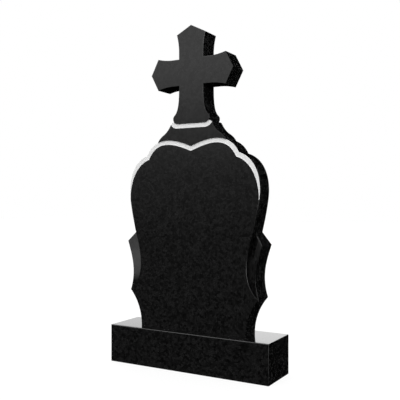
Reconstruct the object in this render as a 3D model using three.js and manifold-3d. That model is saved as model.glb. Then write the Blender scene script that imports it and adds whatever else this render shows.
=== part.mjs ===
// Cross headstone: a carved stele of polished black granite standing on a plain plinth of the same stone.
// Millimetres, +Z up. The stele faces -Y, and the origin is the middle of the plinth's underside.

import * as THREE from 'three';
import { mergeVertices } from 'three/addons/utils/BufferGeometryUtils.js';
import Module from 'manifold-3d';

// Plinth, a rectangular block
const plinthWidth = 706;
const plinthDepth = 190;
const plinthHeight = 150;

// Stele, one slab that stands in the middle of the plinth
const steleThickness = 88;

// Half widths of the outline, from the foot up
const footHalfWidth = 235.4;
const lowerTipHalfWidth = 290.3;
const upperTipHalfWidth = 305;
const sideNotchHalfWidth = 267.2;
const bodyHalfWidth = 294.7;
const outerNotchHalfWidth = 208.3;
const neckTopHalfWidth = 90;
const collarHalfWidth = 82.6;
const shaftHalfWidth = 55;
const armHalfHeight = 53;

// Heights of the outline's stretches, one on top of the other from the foot up
const footHeight = 144;
const wingHeight = 200.5;
const wingSlopeHeight = 46.5;
const sideHeight = 159;
const outerLobeHeight = 143.4;
const dipHeight = 31.5;
const neckHeight = 89.6;
const collarRadius = 20;
const collarFlareHeight = 118.5;
const shaftStraight = 11;
const topArmStraight = 27;

// Ends of the three arms: each flares out and then comes to a blunt point
const sideArmStraight = 28;
const armFlareLength = 70;
const armFlare = 10;
const armGable = 33;

// Ledge of the neck beside the collar, above the collar's underside
const ledgeAngle = 38;
const ledgeHeight = 5;

// Where the neck's side meets the shoulder's edge, as a share of that edge's curve parameter
const neckNotchShare = 0.708;

// Frosted bands, routed to one depth under the collar and along the shoulders
const bandWidth = 17.5;
const bandDepth = 3;
const bandEndAngle = 10;

// Mitres of the shoulder band at its middle and at its outer notches, as shares of the band's width
const dipMitre = 1.06;
const notchMitreX = 0.56;
const notchMitreZ = 0.94;

// The shoulder band's tips, which run out past the widest part of the body
const crescentDrop = 50;
const crescentInset = 3;

// Wing facets, which fall from the outline towards the body and end at an upright wall
const facetSlope = 0.4;
const facetLip = 1;
const facetTipWidth = 3;

// Free curves, each with the handle at its start and at its end as shares of its chord
const wingArcHandles = [[-0.11, -0.327], [-0.132, 0.39]];
const footHandles = [[-0.272, -0.304], [0, 0.288]];
const sideHandles = [[0, -0.27], [0.052, 0.219]];
const outerLobeHandles = [[0.318, -0.1], [0, 0.457]];
const shoulderHandles = [[0.27, 0.11], [-0.213, 0.43]];
const neckHandles = [[0.266, -0.536], [-0.195, 0.357]];
const collarFlareHandles = [[0, -0.986], [0, 0.2]];
const fieldLobeHandles = [[0.304, 0.11], [-0.217, 0.46]];
const fieldSideHandles = [[0.19, -0.046], [0.018, 0.591]];
const bodyEdgeHandles = [[-0.112, -0.358], [-0.286, 0.246]];

// How far a cutter reaches past the stone, and into how many chords each kind of curve is divided
const margin = 30;
const longCurve = 20;
const shortCurve = 10;

const point = (x, z) => new THREE.Vector2(x, z);
const mirrored = (points) => points.map((p) => point(-p.x, p.y)).reverse();

// A free curve between two points, with its pair of handles scaled by the chord.
function handled(start, end, handles) {
  const chord = start.distanceTo(end);
  const [first, second] = handles.map(([x, z]) => point(x, z).multiplyScalar(chord));
  return new THREE.CubicBezierCurve(start, first.add(start), second.add(end), end);
}

// Points of a curve from one parameter to another, both ends included.
function stretch(curve, divisions, from = 0, to = 1) {
  const steps = Array.from({ length: divisions + 1 }, (_, i) => from + ((to - from) * i) / divisions);
  return steps.map((t) => curve.getPoint(t));
}

// Points of an arc about a centre, with angles in degrees from +X.
function arc(centre, radius, fromAngle, toAngle, divisions) {
  const steps = Array.from({ length: divisions + 1 }, (_, i) => fromAngle + ((toAngle - fromAngle) * i) / divisions);
  return steps.map((angle) => {
    const turn = THREE.MathUtils.degToRad(angle);
    return point(centre.x + radius * Math.cos(turn), centre.y + radius * Math.sin(turn));
  });
}

// Heights above the stele's foot
const lowerTipZ = footHeight;
const upperTipZ = lowerTipZ + wingHeight;
const sideNotchZ = upperTipZ + wingSlopeHeight;
const widestZ = sideNotchZ + sideHeight;
const outerNotchZ = widestZ + outerLobeHeight;
const dipZ = outerNotchZ + dipHeight;
const collarZ = dipZ + neckHeight;
const collarWidestZ = collarZ + collarRadius;
const flareTopZ = collarWidestZ + collarFlareHeight;
const armBottomZ = flareTopZ + shaftStraight;
const armAxisZ = armBottomZ + armHalfHeight;
const armTopZ = armAxisZ + armHalfHeight;
const topFlareZ = armTopZ + topArmStraight;
const topCornerZ = topFlareZ + armFlareLength;
const apexZ = topCornerZ + armGable;

// Corners of the right half of the outline
const lowerTip = point(lowerTipHalfWidth, lowerTipZ);
const upperTip = point(upperTipHalfWidth, upperTipZ);
const sideNotch = point(sideNotchHalfWidth, sideNotchZ);
const widest = point(bodyHalfWidth, widestZ);
const outerNotch = point(outerNotchHalfWidth, outerNotchZ);
const sideFlareX = shaftHalfWidth + sideArmStraight;
const sideCornerX = sideFlareX + armFlareLength;
const collarCentre = point(collarHalfWidth - collarRadius, collarWidestZ);

// Free curves of the outline
const wingArc = handled(upperTip, lowerTip, wingArcHandles);
const footArc = handled(lowerTip, point(footHalfWidth, 0), footHandles);
const sideCurve = handled(widest, sideNotch, sideHandles);
const outerLobe = handled(outerNotch, widest, outerLobeHandles);
const shoulderEdge = handled(point(0, dipZ), outerNotch, shoulderHandles);
const neckNotch = shoulderEdge.getPoint(neckNotchShare);
const neckCurve = handled(point(neckTopHalfWidth, collarZ + ledgeHeight), neckNotch, neckHandles);
const collarWidest = point(collarHalfWidth, collarWidestZ);
const collarFlare = handled(point(shaftHalfWidth, flareTopZ), collarWidest, collarFlareHandles);

// A flare that grows as the square of the distance, from the straight side of an arm to its corner.
function armFlareCurve(straightEnd, corner, control) {
  return stretch(new THREE.QuadraticBezierCurve(straightEnd, control, corner), shortCurve);
}

// The right half of the outline, from the apex down to the foot.
function rightHalf() {
  const flareHalf = armFlareLength / 2;
  const topCorner = point(shaftHalfWidth + armFlare, topCornerZ);
  const topFlare = armFlareCurve(
    point(shaftHalfWidth, topFlareZ),
    topCorner,
    point(shaftHalfWidth, topFlareZ + flareHalf),
  );
  const upperFlare = armFlareCurve(
    point(sideFlareX, armTopZ),
    point(sideCornerX, armTopZ + armFlare),
    point(sideFlareX + flareHalf, armTopZ),
  );
  const lowerFlare = upperFlare.map((p) => point(p.x, 2 * armAxisZ - p.y));
  return [
    point(0, apexZ),
    ...topFlare.reverse(),
    point(shaftHalfWidth, armTopZ),
    ...upperFlare,
    point(sideCornerX + armGable, armAxisZ),
    ...lowerFlare.reverse(),
    point(shaftHalfWidth, armBottomZ),
    ...stretch(collarFlare, longCurve),
    ...arc(collarCentre, collarRadius, 0, -ledgeAngle, shortCurve).slice(1),
    ...stretch(neckCurve, longCurve),
    ...stretch(shoulderEdge, shortCurve, neckNotchShare, 1).slice(1),
    ...stretch(outerLobe, longCurve).slice(1),
    ...stretch(sideCurve, longCurve).slice(1),
    ...stretch(wingArc, longCurve),
    ...stretch(footArc, longCurve).slice(1),
  ];
}

// The closed outline: the mirrored half shares the apex with the right half.
function steleOutline() {
  const right = rightHalf();
  return [...right, ...mirrored(right).slice(0, -1)];
}

// The band under the collar: straight below, and round with the collar's corners out to the ledges.
function collarBand() {
  const outerRadius = collarRadius + bandWidth;
  const corner = arc(collarCentre, collarRadius, -90, -ledgeAngle, shortCurve);
  const outerCorner = arc(collarCentre, outerRadius, -bandEndAngle, -90, shortCurve);
  const right = [...corner, ...outerCorner];
  return [...right, ...mirrored(right)];
}

// The band along the shoulders, which ends on each side as a crescent against the outline.
function shoulderBand() {
  const fieldDip = point(0, dipZ - dipMitre * bandWidth);
  const fieldNotch = point(outerNotch.x - notchMitreX * bandWidth, outerNotch.y - notchMitreZ * bandWidth);
  const crescentTip = point(bodyHalfWidth - crescentInset, widestZ - crescentDrop);
  const fieldLobe = handled(fieldDip, fieldNotch, fieldLobeHandles);
  const fieldSide = handled(fieldNotch, crescentTip, fieldSideHandles);
  const outside = bodyHalfWidth + margin;
  const right = [
    ...stretch(shoulderEdge, longCurve, 0, neckNotchShare),
    point(outside, neckNotch.y),
    point(outside, crescentTip.y),
    ...stretch(fieldSide, longCurve).reverse(),
    ...stretch(fieldLobe, longCurve).reverse().slice(1),
  ];
  return [...right, ...mirrored(right).slice(1, -1)];
}

// A prism of the given outline between two depths.
function prism(points, frontY, backY) {
  const geometry = new THREE.ExtrudeGeometry(new THREE.Shape(points), { depth: backY - frontY, bevelEnabled: false });
  geometry.rotateX(Math.PI / 2);
  geometry.translate(0, backY, 0);
  return geometry;
}

// A closed solid through matching sections, each a ring of corners, with the first and last sections capped.
function sweep(sections) {
  const corners = sections[0].length;
  const indices = [];
  for (let i = 0; i < sections.length - 1; i++) {
    for (let j = 0; j < corners; j++) {
      const a = i * corners + j;
      const b = i * corners + ((j + 1) % corners);
      indices.push(a, a + corners, b, b, a + corners, b + corners);
    }
  }
  const last = (sections.length - 1) * corners;
  for (let j = 1; j < corners - 1; j++) {
    indices.push(0, j, j + 1, last, last + j + 1, last + j);
  }
  const geometry = new THREE.BufferGeometry();
  geometry.setAttribute('position', new THREE.Float32BufferAttribute(sections.flat(2), 3));
  geometry.setIndex(indices);
  return geometry;
}

// The cutter of the right wing's facet. Its floor is ruled from the wing's outline to the body's own side line,
// which runs on down the wing, and its inner side there leaves the facet's wall.
function facetCutter(frontY) {
  const top = frontY - margin;
  const lipY = frontY + facetLip;
  const innerEnd = point(lowerTipHalfWidth - facetTipWidth, lowerTipZ);
  const inner = handled(sideNotch, innerEnd, bodyEdgeHandles).getPoints(longCurve);
  const rings = wingArc.getPoints(longCurve).map((edge, i) => {
    const tangent = wingArc.getTangent(i / longCurve);
    const across = inner[i].clone().sub(edge);
    const fall = facetSlope * across.dot(point(tangent.y, -tangent.x));
    const overhang = margin / across.length();
    const outer = edge.clone().addScaledVector(across, -overhang);
    return [
      [outer.x, top, outer.y],
      [outer.x, lipY - overhang * fall, outer.y],
      [inner[i].x, lipY + fall, inner[i].y],
      [inner[i].x, top, inner[i].y],
    ];
  });
  const shifted = (ring, by) => ring.map(([x, y, z]) => [x + by.x, y, z + by.y]);
  const offSlope = point(wingSlopeHeight, upperTipHalfWidth - sideNotchHalfWidth).setLength(margin);
  const offTip = wingArc.getTangent(1).setLength(margin);
  return sweep([shifted(rings[0], offSlope), ...rings, shifted(rings[longCurve], offTip)]);
}

const wasm = await Module();
wasm.setup();

// A closed geometry as a solid for cutting, which needs shared vertices and positions alone.
function toSolid(geometry) {
  const bare = geometry.clone();
  bare.deleteAttribute('normal');
  bare.deleteAttribute('uv');
  const merged = mergeVertices(bare);
  return new wasm.Manifold(new wasm.Mesh({
    numProp: 3,
    vertProperties: new Float32Array(merged.attributes.position.array),
    triVerts: new Uint32Array(merged.index.array),
  }));
}

// A cut solid back as a geometry.
function toGeometry(solid) {
  const mesh = solid.getMesh();
  const geometry = new THREE.BufferGeometry();
  geometry.setAttribute('position', new THREE.Float32BufferAttribute(mesh.vertProperties, 3));
  geometry.setIndex(Array.from(mesh.triVerts));
  geometry.computeVertexNormals();
  return geometry;
}

// The stele: the slab with its two bands and its two wing facets cut into the front.
function steleGeometry() {
  const frontY = -steleThickness / 2;
  const backY = steleThickness / 2;
  const bandFront = frontY - margin;
  const bandFloor = frontY + bandDepth;
  const slab = toSolid(prism(steleOutline(), frontY, backY));
  const facet = toSolid(facetCutter(frontY));
  const cuts = [
    toSolid(prism(collarBand(), bandFront, bandFloor)),
    toSolid(prism(shoulderBand(), bandFront, bandFloor)),
    facet,
    facet.mirror([1, 0, 0]),
  ];
  return toGeometry(cuts.reduce((stone, cut) => stone.subtract(cut), slab));
}

function graniteMaterial() {
  return new THREE.MeshStandardMaterial({ color: 0x17181a, roughness: 0.12, metalness: 0 });
}

function makeStele() {
  const stele = new THREE.Mesh(steleGeometry(), graniteMaterial());
  stele.name = 'stele';
  stele.position.z = plinthHeight;
  return stele;
}

function makePlinth() {
  const plinth = new THREE.Mesh(new THREE.BoxGeometry(plinthWidth, plinthDepth, plinthHeight), graniteMaterial());
  plinth.name = 'plinth';
  plinth.position.z = plinthHeight / 2;
  return plinth;
}

const headstone = new THREE.Group();
headstone.add(makePlinth(), makeStele());

export default headstone;
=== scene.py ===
# %% [markdown]
# # Cross headstone in polished black granite
# The real object is two blocks of one dark stone: an upright slab sawn to the outline of a cross on
# a lobed body, and the plain plinth that it stands on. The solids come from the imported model, at
# their real size in metres. What is left for Blender is the stonemason's finish: eased edges, a
# mirror polish with the grain under it, and the frosted bands, in a studio whose soft lights the
# polish reflects.

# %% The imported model
import math

import bmesh
import bpy
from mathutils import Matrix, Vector


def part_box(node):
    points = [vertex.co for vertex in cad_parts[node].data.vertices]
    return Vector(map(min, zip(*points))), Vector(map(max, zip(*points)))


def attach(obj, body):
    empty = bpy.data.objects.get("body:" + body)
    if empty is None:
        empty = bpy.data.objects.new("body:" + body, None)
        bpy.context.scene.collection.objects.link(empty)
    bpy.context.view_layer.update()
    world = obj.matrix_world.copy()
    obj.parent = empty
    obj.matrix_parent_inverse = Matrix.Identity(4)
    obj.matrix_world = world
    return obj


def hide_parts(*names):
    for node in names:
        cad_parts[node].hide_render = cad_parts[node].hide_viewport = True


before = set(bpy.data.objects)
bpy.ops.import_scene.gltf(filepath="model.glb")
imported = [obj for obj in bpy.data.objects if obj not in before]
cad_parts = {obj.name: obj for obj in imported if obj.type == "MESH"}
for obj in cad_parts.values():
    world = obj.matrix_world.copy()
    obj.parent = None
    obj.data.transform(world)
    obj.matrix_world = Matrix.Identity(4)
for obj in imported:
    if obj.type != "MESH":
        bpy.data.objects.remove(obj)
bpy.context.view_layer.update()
MM = 0.001
print("nodes:", sorted(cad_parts))

# %% [markdown]
# ## The camera
# The photograph shows the stone from the front and a little from its right, with upright lines that
# stay parallel, so the camera was level. The plinth's four visible edges fix its place: two
# vanishing points give the turn and the focal length, and the plinth's height gives the distance. A
# camera can be aimed by hand or with a constraint, but numbers that were solved from the photograph
# land every edge within a pixel, so they are used as they are.

# %% The photograph's camera
PHOTO_WIDTH_PX = 400
FOCAL_PX = 615.3
CAMERA_TURN = math.radians(30)
CAMERA_PLACE = Vector((1236, -2113, 663.5)) * MM

camera_data = bpy.data.cameras.new("camera")
camera_data.lens = camera_data.sensor_width * FOCAL_PX / PHOTO_WIDTH_PX
camera = bpy.data.objects.new("camera", camera_data)
camera.location = CAMERA_PLACE
camera.rotation_euler = (math.pi / 2, 0, CAMERA_TURN)
bpy.context.collection.objects.link(camera)
bpy.context.scene.camera = camera
bpy.context.scene.view_settings.view_transform = "Standard"
print("lens:", round(camera_data.lens, 2), "mm")

# %% [markdown]
# ## Shader sums as Python sums
# A shader is a net of nodes, and wiring it line by line hides what it works out. Two small classes
# make it read like arithmetic: `Amount` wraps a socket, and Python's operators on it add the Math
# nodes. `Nodes` holds one material's or world's net and makes every other node from its type, its
# settings and the values or links of its sockets.

# %% Amounts that add, multiply and subtract
class Amount:
    """A number that the shader works out at each point."""

    def __init__(self, nodes, socket):
        self.nodes = nodes
        self.socket = socket

    def math(self, operation, *values):
        return self.nodes.node("ShaderNodeMath", {"operation": operation}, dict(enumerate(values)))

    def __add__(self, other):
        return self.math("ADD", self, other)

    def __sub__(self, other):
        return self.math("SUBTRACT", self, other)

    def __mul__(self, other):
        return self.math("MULTIPLY", self, other)

    def __rsub__(self, other):
        return self.math("SUBTRACT", other, self)


# %% One net of nodes
class Nodes:
    """The nodes of one material or world."""

    def __init__(self, owner):
        owner.use_nodes = True
        self.tree = owner.node_tree
        self.tree.nodes.clear()

    def node(self, kind, settings=None, values=None, output=0):
        """Makes one node from its settings and what goes into its sockets."""
        made = self.tree.nodes.new(kind)
        for name, setting in (settings or {}).items():
            if name == "stops":
                self.set_stops(made.color_ramp, setting)
            else:
                setattr(made, name, setting)
        for key, value in (values or {}).items():
            self.feed(made.inputs[key], value)
        return Amount(self, made.outputs[output]) if len(made.outputs) else made

    def feed(self, socket, value):
        if isinstance(value, Amount):
            self.tree.links.new(value.socket, socket)
        else:
            socket.default_value = value

    def set_stops(self, ramp, stops):
        while len(ramp.elements) < len(stops):
            ramp.elements.new(1)
        for element, (place, level) in zip(ramp.elements, stops):
            element.position = place
            element.color = (level, level, level, 1)

    def smooth_step(self, value, start, end, low=0, high=1):
        """low up to start, high from end on, and an eased ramp between them."""
        ends = {"Value": value, "From Min": start, "From Max": end, "To Min": low, "To Max": high}
        return self.node("ShaderNodeMapRange", {"interpolation_type": "SMOOTHSTEP"}, ends)


# %% [markdown]
# ## The studio
# Polished black stone shows almost nothing of itself: what the eye sees is the room in it, at a
# twenty-fifth of its brightness, and at a quarter where the light grazes the plinth's top. Lamps
# and white cards round the object could make that room, but each would have to be placed by trial.
# A world that is brighter in some directions does the same with named numbers: an overhead light
# that fades towards the ground in front, soft boxes that the wing facets and the rubbed edges
# catch, and next to nothing behind, which leaves the stone's thick side dark. The camera and the
# matt surfaces see a plain white room, and a mirror that is seen in a mirror is dimmed, as it is in
# the photograph.

# %% Directions in the room
def direction(azimuth, elevation):
    """Unit vector from degrees: azimuth 0 is towards the cross's viewer, +90 to their right."""
    turn, rise = math.radians(azimuth), math.radians(elevation)
    level = math.cos(rise)
    return Vector((math.sin(turn) * level, -math.cos(turn) * level, math.sin(rise)))


def soft_box(nodes, ray, azimuth, elevation, core, edge, brightness):
    """A round light, even up to the core angle from its middle and gone at the edge angle."""
    aim = {0: ray, 1: direction(azimuth, elevation)}
    nearness = nodes.node("ShaderNodeVectorMath", {"operation": "DOT_PRODUCT"}, aim, "Value")
    start, end = math.cos(math.radians(edge)), math.cos(math.radians(core))
    return nodes.smooth_step(nearness, start, end, 0, brightness)


# %% The overhead light
# Brightness at each elevation in degrees, from the ground up
OVERHEAD = [
    (-30, 0.02),
    (-12, 0.05),
    (-3, 0.105),
    (2.5, 0.24),
    (7.5, 0.57),
    (12.5, 1.04),
    (18, 1.15),
    (90, 1.2),
]
OVERHEAD_PEAK = max(level for _, level in OVERHEAD)


def overhead(nodes, height):
    stops = []
    for angle, level in OVERHEAD:
        stops.append(((math.sin(math.radians(angle)) + 1) / 2, level / OVERHEAD_PEAK))
    ramp = nodes.node("ShaderNodeValToRGB", {"stops": stops}, {0: height * 0.5 + 0.5})
    return ramp * OVERHEAD_PEAK


# %% The room
MATT_WHITE = 2.3
SECOND_MIRROR = 0.15
# Ray depths at which the world is seen in one mirror, and in a mirror seen in a mirror
ONE_MIRROR, TWO_MIRRORS = 2, 3
# The light on matt surfaces comes up from this far below the horizon to this far above it
HORIZON = 0.05
# Each has the azimuth and elevation of its middle, core angle, edge angle and brightness
FRONT_HALF = (10, 0, 45, 100, 1)
SOFT_BOXES = [
    (5, -1.5, 2, 13, 1.18),
    (-37, 50, 14, 28, 3.0),
    (60, 22, 14, 26, 0.7),
    (66, 1, 6, 20, 9.0),
]

world = bpy.data.worlds.new("studio")
bpy.context.scene.world = world
room = Nodes(world)
ray = room.node("ShaderNodeTexCoord", {}, {}, "Generated")
height = room.node("ShaderNodeSeparateXYZ", {}, {0: ray}, "Z")
mirrored = overhead(room, height) * soft_box(room, ray, *FRONT_HALF)
for place in SOFT_BOXES:
    mirrored = mirrored + soft_box(room, ray, *place)
seen_by_camera = room.node("ShaderNodeLightPath", {}, {}, "Is Camera Ray")
seen_by_matt = room.node("ShaderNodeLightPath", {}, {}, "Is Diffuse Ray")
bounces = room.node("ShaderNodeLightPath", {}, {}, "Ray Depth")
from_above = room.smooth_step(height, -HORIZON, HORIZON, 0, MATT_WHITE)
mirror_share = room.smooth_step(bounces, ONE_MIRROR, TWO_MIRRORS, 1, SECOND_MIRROR)
seen_by_polish = (1 - seen_by_camera - seen_by_matt) * mirror_share
light = seen_by_camera + seen_by_matt * from_above + seen_by_polish * mirrored
background = room.node("ShaderNodeBackground", {}, {"Color": light})
room.node("ShaderNodeOutputWorld", {}, {"Surface": background})
print("world nodes:", len(room.tree.nodes))

# %% [markdown]
# ## The floor and the low card
# The photograph has a plain white ground without a visible shadow or a reflection in the stone. A
# wide pale plane with a glow of its own, like a light table, keeps only a trace of shadow where the
# plinth stands. It is hidden from the stone, because in the photograph the stone's undersides stay
# black. The plinth's top is seen at a low angle and mirrors what is low behind it, so a long card
# hangs there like a shelf, out of the camera's sight. Only its underside glows, and its upper side
# is covered in black, so the polished back of the slab doesn't mirror it. Nor does that back show
# it by way of the plinth's top, because the glow ends after the first mirror.

# %% A pale light table and a low card
FLOOR_SPAN = 30
FLOOR_BASE = 0.07
FLOOR_GLOW = (0.87, 0.87, 0.87, 1)
CARD_CORNERS = Vector((-650, 120, 210)) * MM, Vector((290, 450, 210)) * MM
COVER_LIFT = Vector((0, 0, 1)) * MM
BLACK = (0, 0, 0, 1)
PAPER_ROUGHNESS = 0.9
# Shares of the card's length and width, and the glow at its left and right ends
BRIGHTER_FROM, BRIGHTER_TO = 0.35, 0.75
FADED_BELOW, FADED_ABOVE = 0.1, 0.85
LEFT_GLOW, RIGHT_GLOW = 1.5, 2.0


def glowing(name, base, strength_of):
    """A material with a grey base colour and a glow that its own nodes work out."""
    material = bpy.data.materials.new(name)
    nodes = Nodes(material)
    values = {
        "Base Color": (base, base, base, 1),
        "Roughness": PAPER_ROUGHNESS,
        "Emission Color": strength_of(nodes),
        "Emission Strength": 1,
    }
    surface = nodes.node("ShaderNodeBsdfPrincipled", {}, values)
    nodes.node("ShaderNodeOutputMaterial", {}, {"Surface": surface})
    return material


def card_glow(nodes):
    """Brighter towards the right end, faded at the long edges, and gone in a second mirror."""
    place = nodes.node("ShaderNodeTexCoord", {}, {}, "Generated")
    along = nodes.node("ShaderNodeSeparateXYZ", {}, {0: place}, "X")
    across = nodes.node("ShaderNodeSeparateXYZ", {}, {0: place}, "Y")
    near_edge = nodes.smooth_step(across, 0, FADED_BELOW)
    far_edge = nodes.smooth_step(across, FADED_ABOVE, 1, 1, 0)
    bounces = nodes.node("ShaderNodeLightPath", {}, {}, "Ray Depth")
    # A surface is met one step sooner than the world behind it
    first_mirror = nodes.smooth_step(bounces, ONE_MIRROR - 1, TWO_MIRRORS - 1, 1, 0)
    glow = nodes.smooth_step(along, BRIGHTER_FROM, BRIGHTER_TO, LEFT_GLOW, RIGHT_GLOW)
    return glow * (near_edge * far_edge) * first_mirror


def stage_plane(name, low, high, material):
    """A level plane between two corners, which belongs to the studio and not to the headstone."""
    bpy.ops.mesh.primitive_plane_add(size=1, location=(low + high) / 2)
    plane = bpy.context.object
    plane.name = name
    plane.scale = (high.x - low.x, high.y - low.y, 1)
    plane.data.materials.append(material)
    return plane


half_floor = Vector((FLOOR_SPAN, FLOOR_SPAN, 0)) / 2
light_table = glowing("light_table", FLOOR_BASE, lambda nodes: FLOOR_GLOW)
floor = stage_plane("floor", -half_floor, half_floor, light_table)
floor.visible_glossy = False
floor.visible_diffuse = False

card = stage_plane("low_card", *CARD_CORNERS, glowing("white_card", 0, card_glow))
cover_corners = [corner + COVER_LIFT for corner in CARD_CORNERS]
cover = stage_plane("card_cover", *cover_corners, glowing("black_card", 0, lambda nodes: BLACK))
for sheet in (card, cover):
    sheet.visible_camera = False
    sheet.visible_diffuse = False
    sheet.visible_shadow = False
print("floor:", FLOOR_SPAN, "m across; card:", [round(c, 2) for c in card.scale], "m")

# %% [markdown]
# ## Polished granite
# This stone is nearly black, with flecks of dark grey crystal just under a centimetre across, finer
# grit between them, and slow clouds in which both are more or less frequent. A photograph of a slab
# would repeat and stretch; cells and noise that are worked out from the point in space run through
# both blocks and round every edge, as the crystals in a real block do. The polish is one smooth
# clear surface, so the grain changes the colour and never the gloss.

# %% The grain under the polish
BLACK_CRYSTAL = (0.0002, 0.0002, 0.0002, 1)
GREY_CRYSTAL = (0.0128, 0.0128, 0.0128, 1)
CRYSTALS_PER_METRE = 112
GRIT_PER_METRE = 400
CLOUDS_PER_METRE = 22
# How much each of the three adds to the grain, and how much is then taken away
CRYSTAL_SHARE, GRIT_SHARE, CLOUD_SHARE, DARKER_BY = 0.62, 0.22, 0.28, 0.23
POLISH_ROUGHNESS = 0.05
POLISH_IOR = 1.5


def place_in_stone(nodes):
    return nodes.node("ShaderNodeTexCoord", {}, {}, "Object")


def noise(nodes, place, per_metre, detail):
    values = {"Vector": place, "Scale": per_metre, "Detail": detail}
    return nodes.node("ShaderNodeTexNoise", {}, values, "Fac")


def mixed(nodes, share, first, second):
    """Colour that goes from the first to the second as the share goes from 0 to 1."""
    sockets = {"Factor": share, 6: first, 7: second}
    return nodes.node("ShaderNodeMix", {"data_type": "RGBA"}, sockets, 2)


granite = bpy.data.materials.new("polished_granite")
stone = Nodes(granite)
place = place_in_stone(stone)
cells = {"Vector": place, "Scale": CRYSTALS_PER_METRE}
cell_colour = stone.node("ShaderNodeTexVoronoi", {}, cells, "Color")
crystal = stone.node("ShaderNodeSeparateColor", {}, {0: cell_colour}, "Red")
grit = noise(stone, place, GRIT_PER_METRE, 2)
clouds = noise(stone, place, CLOUDS_PER_METRE, 2)
paleness = crystal * CRYSTAL_SHARE + grit * GRIT_SHARE + clouds * CLOUD_SHARE - DARKER_BY
colour = mixed(stone, paleness, BLACK_CRYSTAL, GREY_CRYSTAL)
polish = {"Base Color": colour, "Roughness": POLISH_ROUGHNESS, "IOR": POLISH_IOR}
surface = stone.node("ShaderNodeBsdfPrincipled", {}, polish)
stone.node("ShaderNodeOutputMaterial", {}, {"Surface": surface})
print("granite nodes:", len(stone.tree.nodes))

# %% [markdown]
# ## Frosted granite
# The bands are the same stone with its polish blasted away: millions of tiny chips scatter the
# light, so it looks pale grey and matt. It could be a light paint, but blasted stone keeps a fine
# sparkle of its crystals and a sandy surface, so a fine noise varies the colour a little and lifts
# a shallow bump.

# %% The blasted surface
FROST_DARK = (0.48, 0.48, 0.48, 1)
FROST_LIGHT = (0.64, 0.64, 0.64, 1)
FROST_PER_METRE = 700
FROST_ROUGHNESS = 0.75
FROST_DARK_BELOW, FROST_LIGHT_ABOVE = 0.35, 0.65
FROST_BUMP = 0.35
FROST_RELIEF = 0.3 * MM

frosted = bpy.data.materials.new("frosted_granite")
frost = Nodes(frosted)
grit = noise(frost, place_in_stone(frost), FROST_PER_METRE, 4)
bump = {"Strength": FROST_BUMP, "Distance": FROST_RELIEF, "Height": grit}
relief = frost.node("ShaderNodeBump", {}, bump)
lightness = frost.smooth_step(grit, FROST_DARK_BELOW, FROST_LIGHT_ABOVE)
colour = mixed(frost, lightness, FROST_DARK, FROST_LIGHT)
blasted = {"Base Color": colour, "Roughness": FROST_ROUGHNESS, "Normal": relief}
surface = frost.node("ShaderNodeBsdfPrincipled", {}, blasted)
frost.node("ShaderNodeOutputMaterial", {}, {"Surface": surface})
print("frosted nodes:", len(frost.tree.nodes))

# %% [markdown]
# ## The stele
# The slab is worked in the mason's own order: sawn to its outline, its edges rubbed down, polished,
# and only then are the bands routed and blasted. The outline could be drawn again with a bevelled
# curve, but the wing facets would be lost, so the solid's own mesh is copied. Its bands are filled,
# its flat faces are joined up again from their triangles, Blender's bevel eases the edges, and a
# boolean cut routes the bands afresh, so their rims stay crisp.

# %% A copy with whole faces
COPLANAR = math.radians(0.05)
WELD = 0.01 * MM


def whole_faces(mesh):
    """Closes the mesh's seams and joins its triangles into whole flat faces."""
    bmesh.ops.remove_doubles(mesh, verts=mesh.verts, dist=WELD)
    bmesh.ops.dissolve_degenerate(mesh, dist=WELD, edges=mesh.edges)
    bmesh.ops.dissolve_limit(mesh, angle_limit=COPLANAR, verts=mesh.verts, edges=mesh.edges)
    mesh.normal_update()


def copy_of(node):
    mesh = bmesh.new()
    mesh.from_mesh(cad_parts[node].data)
    whole_faces(mesh)
    print(node, "has", len(mesh.faces), "faces and", len(mesh.verts), "corners")
    return mesh


stele_low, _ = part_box("stele")
sawn = copy_of("stele")

# %% [markdown]
# ### The routed bands
# A band's floor is the only flat face that lies a little behind the front. Its rim is the path of
# the cutter: where the rim is the slab's own outline, the cutter swings out past it, so that it
# never runs along the stone's side.

# %% The cutter's paths
TOUCH = 0.05 * MM
DEEPEST_BAND = 10 * MM
SWING = 4 * MM
IN_FRONT = 5 * MM
# Cosines of the lean from the front that a floor may have, and of the least turn of a side from it
SQUARELY = 0.99
SAME_WAY = 0.5


def is_band_floor(face):
    depths = [corner.co.y - stele_low.y for corner in face.verts]
    level = max(depths) - min(depths) < TOUCH
    return level and face.normal.y < -SQUARELY and TOUCH < depths[0] < DEEPEST_BAND


def outward(corner, floor):
    """The way out of the stone at a corner of a band's rim, or None for a rim inside the face."""
    outer = []
    for face in corner.link_faces:
        is_side = face is not floor and face.normal.dot(floor.normal) < SAME_WAY
        if is_side and max(other.co.y for other in face.verts) > floor.verts[0].co.y + TOUCH:
            outer.append(face.normal)
    return sum(outer, Vector()).normalized() if outer else None


def cutter_path(floor):
    """The rim inside the face, and points beyond the stone where the rim is its outline."""
    path = []
    for loop in floor.loops:
        corner, way = loop.vert, outward(loop.vert, floor)
        inside_next = outward(loop.link_loop_next.vert, floor) is None
        inside_before = outward(loop.link_loop_prev.vert, floor) is None
        if way is None or inside_before:
            path.append(corner.co.copy())
        if way is not None:
            path.append(corner.co + way * SWING)
        if way is not None and inside_next:
            path.append(corner.co.copy())
    return path


floors = [face for face in sawn.faces if is_band_floor(face)]
band_paths = [cutter_path(floor) for floor in floors]
band_floor_y = floors[0].verts[0].co.y
band_depth = band_floor_y - stele_low.y
print("bands:", len(band_paths), "routed", round(band_depth / MM, 2), "mm deep")

# %% [markdown]
# ### The sawn slab
# Before the edges are eased the bands are filled, by moving their floors out to the front. The thin
# end of each wing facet, where its wall is lower than an eased edge is wide, is drawn together into
# the wing's lower tip.

# %% Filled bands and closed facet ends
FACET_END = 4.5 * MM
SHARP_FROM = math.radians(20)


def is_hollow(edge):
    return not edge.is_convex and edge.calc_face_angle() > SHARP_FROM


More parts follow.
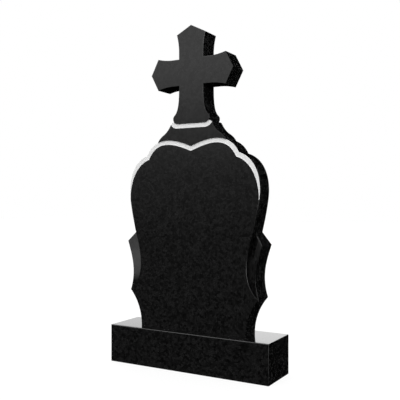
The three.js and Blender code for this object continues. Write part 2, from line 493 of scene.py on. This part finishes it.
def close_facet_end(mesh, side):
    """Draws together the corners round the lower end of the facet's wall at x of the given sign."""
    hollows = [corner for edge in mesh.edges if is_hollow(edge) for corner in edge.verts]
    on_side = [corner for corner in hollows if corner.co.x * side > 0]
    in_front = [corner for corner in on_side if corner.co.y < stele_low.y / 2]
    end = min(in_front, key=lambda corner: corner.co.z)
    near = [corner for corner in mesh.verts if (corner.co - end.co).length < FACET_END]
    tip = max(near, key=lambda corner: corner.co.x * side).co.copy()
    tip.y = stele_low.y
    bmesh.ops.pointmerge(mesh, verts=near, merge_co=tip)
    print("facet end closed at", [round(c / MM, 1) for c in tip], "from", len(near), "corners")


for floor in floors:
    for corner in floor.verts:
        corner.co.y = stele_low.y
whole_faces(sawn)
for side in (-1, 1):
    close_facet_end(sawn, side)
sawn.normal_update()
print("sawn slab:", len(sawn.faces), "faces")

# %% [markdown]
# ### Eased edges
# Every edge of the front and back is rubbed down to a narrow round, which shows as a thin light
# line, and the upright corners a little less. Hollow corners and the undersides stay sharp. The
# bevel takes each edge's width from its weight, and weighted normals keep the polished faces flat
# right up to the round.

# %% How wide each edge is eased
ARRIS = 1.6 * MM
PLINTH_ARRIS = 2.6 * MM
CORNER_SHARE = 0.5
ROUND_STEPS = 4
# A round turns by less than this at each step, and what turns by more is a true corner
SHARP_AFTER_EASING = math.radians(32)
# Sine of the lean that a face square to the front may still have
MOST_LEAN = 0.2


def is_across(face):
    """True for a face that stands square to the slab's front."""
    return abs(face.normal.y) < MOST_LEAN


def easing(edge, underside_z):
    """How much of the arris width an edge gets, from 0 to 1."""
    if not edge.is_convex or edge.calc_face_angle() < SHARP_FROM:
        return 0
    if all(corner.co.z < underside_z + TOUCH for corner in edge.verts):
        return 0
    return CORNER_SHARE if all(is_across(face) for face in edge.link_faces) else 1


# %% From a mesh to an eased piece
def eased(name, mesh, underside_z, arris):
    """A new object from the mesh, with a modifier, still to be applied, that eases its edges."""
    weights = mesh.edges.layers.float.new("bevel_weight_edge")
    for edge in mesh.edges:
        edge[weights] = easing(edge, underside_z)
        edge.smooth = edge[weights] > 0 or edge.calc_face_angle() < SHARP_FROM
    for face in mesh.faces:
        face.smooth = True
    data = bpy.data.meshes.new(name)
    mesh.to_mesh(data)
    mesh.free()
    data.materials.append(granite)
    piece = bpy.data.objects.new(name, data)
    bpy.context.collection.objects.link(piece)
    bevel = piece.modifiers.new("eased edges", "BEVEL")
    bevel.limit_method = "WEIGHT"
    bevel.width = arris
    bevel.segments = ROUND_STEPS
    bevel.use_clamp_overlap = False
    return piece


def applied(piece):
    """Turns the piece's modifiers into plain mesh."""
    evaluated = piece.evaluated_get(bpy.context.evaluated_depsgraph_get())
    shaped = bpy.data.meshes.new_from_object(evaluated)
    piece.modifiers.clear()
    piece.data = shaped
    return piece


def mark_sharp(data):
    """Marks as sharp what the bevel and the cut have left unmarked between two flat faces."""
    mesh = bmesh.new()
    mesh.from_mesh(data)
    for edge in mesh.edges:
        if edge.calc_face_angle(0) > SHARP_AFTER_EASING:
            edge.smooth = False
    mesh.to_mesh(data)
    mesh.free()


def finished(piece):
    """Applies the shaping, and keeps the flat faces flat right up to their edges."""
    mark_sharp(applied(piece).data)
    flat = piece.modifiers.new("flat faces", "WEIGHTED_NORMAL")
    flat.keep_sharp = True
    applied(piece)
    finishes = len(piece.data.materials)
    print(piece.name, "has", len(piece.data.polygons), "faces and", finishes, "finishes")
    return piece


stele = eased("headstone_stele", sawn, stele_low.z, ARRIS)

# %% [markdown]
# ### Routing the bands
# The cutter is a prism over each path, with the frosted finish on it, so what it leaves is frosted
# too.

# %% The cut
def prism(mesh, path, front_y, back_y):
    """A closed prism between two depths, with the path as its outline."""
    front = [mesh.verts.new((point.x, front_y, point.z)) for point in path]
    back = [mesh.verts.new((point.x, back_y, point.z)) for point in path]
    mesh.faces.new(front)
    mesh.faces.new(reversed(back))
    for i in range(len(path)):
        mesh.faces.new((front[i - 1], back[i - 1], back[i], front[i]))


cutter_mesh = bmesh.new()
for path in band_paths:
    prism(cutter_mesh, path, stele_low.y - IN_FRONT, band_floor_y)
bmesh.ops.recalc_face_normals(cutter_mesh, faces=cutter_mesh.faces)
cutter_data = bpy.data.meshes.new("cutter")
cutter_mesh.to_mesh(cutter_data)
cutter_mesh.free()
cutter_data.materials.append(frosted)
cutter = bpy.data.objects.new("cutter", cutter_data)
bpy.context.collection.objects.link(cutter)

cut = stele.modifiers.new("bands", "BOOLEAN")
cut.operation = "DIFFERENCE"
cut.solver = "EXACT"
cut.material_mode = "TRANSFER"
cut.object = cutter
finished(stele)
bpy.data.objects.remove(cutter)
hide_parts("stele")

# %% [markdown]
# ## The plinth
# The plinth is a plain block with the same eased edges. The same steps make it, and only its
# underside stays sharp, where it meets the ground.

# %% The plinth
plinth_low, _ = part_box("plinth")
plinth = finished(eased("headstone_plinth", copy_of("plinth"), plinth_low.z, PLINTH_ARRIS))
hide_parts("plinth")

# %% [markdown]
# ## What rides on what
# Nothing on the stone moves, so both blocks ride on the one body.

# %% Bodies
for piece in (stele, plinth):
    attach(piece, "root")
